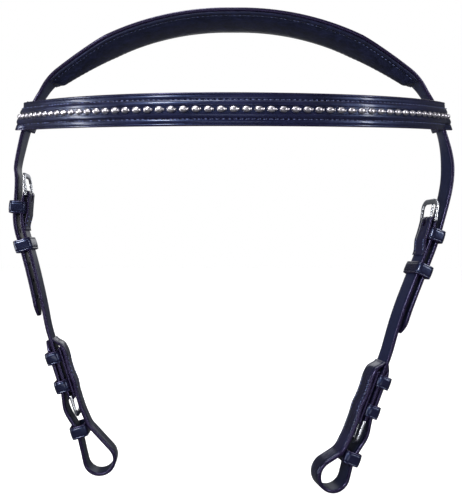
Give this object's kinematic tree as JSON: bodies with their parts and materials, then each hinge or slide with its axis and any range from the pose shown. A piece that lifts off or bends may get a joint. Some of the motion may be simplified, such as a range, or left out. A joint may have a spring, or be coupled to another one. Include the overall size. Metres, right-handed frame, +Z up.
{
  "type": "snaffle bridle headstall",
  "caption": "Leather bridle headstall with a padded crownpiece, a bowed browband set with oval metal clincher beads, and cheekpieces with buckles, keepers and bit loops.",
  "frame": {"origin": "middle of the padded crownpiece's underside, where it rests on the poll", "axes": "+X to the right cheekpiece as seen from the front, -Y to the front of the horse's head, +Z up"},
  "size_m": [0.3362, 0.1273, 0.3518],
  "materials": {
    "strap_leather": "polished finished leather",
    "keeper_leather": "polished finished leather",
    "browband_leather": "polished raised leather",
    "lining_leather": "soft grained lining leather",
    "foam": "sealed padding",
    "filler": "hidden filler strip",
    "clincher_metal": "bright nickel plate",
    "buckle_metal": "satin stainless steel"
  },
  "bodies": {
    "crown": {"crown_strap": "strap_leather", "crown_foam": "foam", "crown_lining": "lining_leather"},
    "browband": {"browband_face": "browband_leather", "browband_core": "filler", "browband_lining": "lining_leather", "left_browband_loop": "browband_leather", "right_browband_loop": "browband_leather", "clincher_beads": "clincher_metal"},
    "left_cheekpiece": {"left_crown_billet": "strap_leather", "left_cheek_strap": "strap_leather", "left_upper_keeper": "keeper_leather", "left_bit_strap": "strap_leather", "left_lower_keeper_a": "keeper_leather", "left_lower_keeper_b": "keeper_leather", "left_lower_keeper_c": "keeper_leather"},
    "left_runner": {"left_runner": "keeper_leather"},
    "left_upper_buckle_frame": {"left_upper_buckle": "buckle_metal"},
    "left_upper_buckle_tongue": {"left_upper_tongue": "buckle_metal"},
    "left_lower_buckle_frame": {"left_lower_buckle": "buckle_metal"},
    "left_lower_buckle_tongue": {"left_lower_tongue": "buckle_metal"},
    "right_cheekpiece": {"right_crown_billet": "strap_leather", "right_cheek_strap": "strap_leather", "right_upper_keeper": "keeper_leather", "right_bit_strap": "strap_leather", "right_lower_keeper_a": "keeper_leather", "right_lower_keeper_b": "keeper_leather", "right_lower_keeper_c": "keeper_leather"},
    "right_runner": {"right_runner": "keeper_leather"},
    "right_upper_buckle_frame": {"right_upper_buckle": "buckle_metal"},
    "right_upper_buckle_tongue": {"right_upper_tongue": "buckle_metal"},
    "right_lower_buckle_frame": {"right_lower_buckle": "buckle_metal"},
    "right_lower_buckle_tongue": {"right_lower_tongue": "buckle_metal"}
  },
  "joints": [
    {"name": "browband_tilt", "type": "hinge", "parent": "crown", "child": "browband", "pos_m": [0, 0, -0.06693], "axis": [1, 0, 0], "range_deg": [-5, 5]},
    {"name": "left_cheek_swing", "type": "hinge", "parent": "crown", "child": "left_cheekpiece", "pos_m": [-0.16068, 0, -0.0864], "axis": [-0.0698, 0.9976, 0], "range_deg": [-10, 20], "stiffness_Nm_per_rad": 0.3, "springref_deg": -1.09},
    {"name": "left_runner_slide", "type": "slide", "parent": "left_cheekpiece", "child": "left_runner", "axis": [0.2759, 0.0193, -0.961], "range_m": [-0.005, 0.01]},
    {"name": "left_upper_buckle_turn", "type": "hinge", "parent": "left_cheekpiece", "child": "left_upper_buckle_frame", "pos_m": [-0.15635, 0.0003, -0.1256], "axis": [-0.0698, 0.9976, 0], "range_deg": [-0.5, 90]},
    {"name": "left_upper_tongue_turn", "type": "hinge", "parent": "left_upper_buckle_frame", "child": "left_upper_buckle_tongue", "pos_m": [-0.15635, 0.0003, -0.1256], "axis": [0.0698, -0.9976, 0], "range_deg": [0, 1.5]},
    {"name": "left_lower_buckle_turn", "type": "hinge", "parent": "left_cheekpiece", "child": "left_lower_buckle_frame", "pos_m": [-0.12298, 0.00264, -0.27861], "axis": [-0.0698, 0.9976, 0], "range_deg": [-4, 3]},
    {"name": "left_lower_tongue_turn", "type": "hinge", "parent": "left_lower_buckle_frame", "child": "left_lower_buckle_tongue", "pos_m": [-0.12298, 0.00264, -0.27861], "axis": [-0.0698, 0.9976, 0], "range_deg": [0, 3]},
    {"name": "right_cheek_swing", "type": "hinge", "parent": "crown", "child": "right_cheekpiece", "pos_m": [0.16068, 0, -0.0864], "axis": [0.2419, -0.9703, 0], "range_deg": [-10, 20], "stiffness_Nm_per_rad": 0.3, "springref_deg": -2.12},
    {"name": "right_runner_slide", "type": "slide", "parent": "right_cheekpiece", "child": "right_runner", "axis": [-0.3918, -0.0977, -0.9148], "range_m": [-0.005, 0.01]},
    {"name": "right_upper_buckle_turn", "type": "hinge", "parent": "right_cheekpiece", "child": "right_upper_buckle_frame", "pos_m": [0.14761, -0.00326, -0.14529], "axis": [0.2419, -0.9703, 0], "range_deg": [-3, 90]},
    {"name": "right_upper_tongue_turn", "type": "hinge", "parent": "right_upper_buckle_frame", "child": "right_upper_buckle_tongue", "pos_m": [0.14761, -0.00326, -0.14529], "axis": [-0.2419, 0.9703, 0], "range_deg": [0, 10]},
    {"name": "right_lower_buckle_turn", "type": "hinge", "parent": "right_cheekpiece", "child": "right_lower_buckle_frame", "pos_m": [0.09149, -0.01725, -0.29237], "axis": [0.2419, -0.9703, 0], "range_deg": [-4, 3]},
    {"name": "right_lower_tongue_turn", "type": "hinge", "parent": "right_lower_buckle_frame", "child": "right_lower_buckle_tongue", "pos_m": [0.09149, -0.01725, -0.29237], "axis": [0.2419, -0.9703, 0], "range_deg": [0, 3]}
  ]
}
